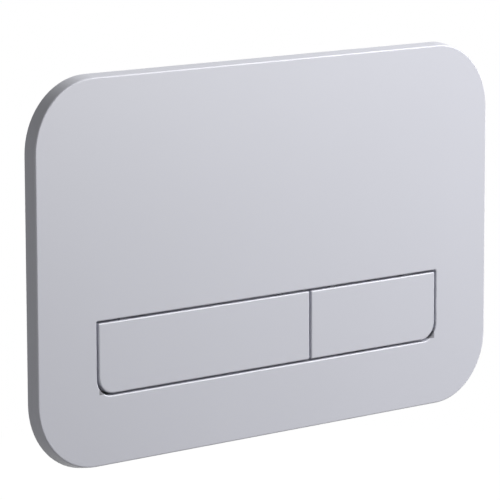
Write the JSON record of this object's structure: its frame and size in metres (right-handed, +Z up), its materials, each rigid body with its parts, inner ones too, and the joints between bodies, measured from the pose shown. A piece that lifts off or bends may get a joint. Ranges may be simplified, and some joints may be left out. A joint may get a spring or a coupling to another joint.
{
  "type": "flush button plate",
  "caption": "Wall plate for a concealed cistern, with a wide and a narrow hinged push button low in its face that press sprung rods through the mounting frame behind it.",
  "frame": {"origin": "centre of the plate in the plane of the wall that the frame's flange rests on", "axes": "+X to the right seen from the front, +Y into the wall, +Z up"},
  "size_m": [0.25, 0.0539, 0.16],
  "materials": {
    "satin_chrome": "moulded plastic with a satin chrome surface",
    "white_plastic": "moulded white plastic",
    "bush_plastic": "natural acetal",
    "rod_plastic": "grey moulded plastic",
    "steel": "bright stainless steel",
    "zinc_steel": "zinc-plated steel",
    "nut_plastic": "black moulded plastic",
    "rubber": "soft black rubber"
  },
  "bodies": {
    "plate": {"front_plate": "satin_chrome", "mounting_frame": "white_plastic", "large_guide_bush": "bush_plastic", "small_guide_bush": "bush_plastic", "large_hinge_pin": "steel", "small_hinge_pin": "steel", "large_return_spring": "steel", "small_return_spring": "steel", "left_fixing_stud": "zinc_steel", "right_fixing_stud": "zinc_steel", "left_stud_washer": "zinc_steel", "right_stud_washer": "zinc_steel", "left_thumb_nut": "nut_plastic", "right_thumb_nut": "nut_plastic", "large_stop_pads": "rubber", "small_stop_pads": "rubber"},
    "large_button": {"large_button": "satin_chrome"},
    "small_button": {"small_button": "satin_chrome"},
    "large_rod": {"large_push_rod": "rod_plastic", "large_rod_head": "rod_plastic", "large_lock_nut": "steel", "large_spring_washer": "steel", "large_retaining_clip": "steel"},
    "small_rod": {"small_push_rod": "rod_plastic", "small_rod_head": "rod_plastic", "small_lock_nut": "steel", "small_spring_washer": "steel", "small_retaining_clip": "steel"}
  },
  "joints": [
    {"name": "large_button_hinge", "type": "hinge", "parent": "plate", "child": "large_button", "pos_m": [-0.0366, -0.0011, -0.0228], "axis": [1, 0, 0], "range_deg": [0, 10], "stiffness_Nm_per_rad": 0.58},
    {"name": "large_rod_slide", "type": "slide", "parent": "plate", "child": "large_rod", "axis": [0, 1, 0], "range_m": [0, 0.0035], "deforming": ["large_return_spring"]},
    {"name": "small_button_hinge", "type": "hinge", "parent": "plate", "child": "small_button", "pos_m": [0.0572, -0.0011, -0.0228], "axis": [1, 0, 0], "range_deg": [0, 10], "stiffness_Nm_per_rad": 0.58},
    {"name": "small_rod_slide", "type": "slide", "parent": "plate", "child": "small_rod", "axis": [0, 1, 0], "range_m": [0, 0.0035], "deforming": ["small_return_spring"]}
  ],
  "couplings": [
    {"joint": "large_rod_slide", "follows": "large_button_hinge", "m_per_rad": 0.0198},
    {"joint": "small_rod_slide", "follows": "small_button_hinge", "m_per_rad": 0.0198}
  ]
}
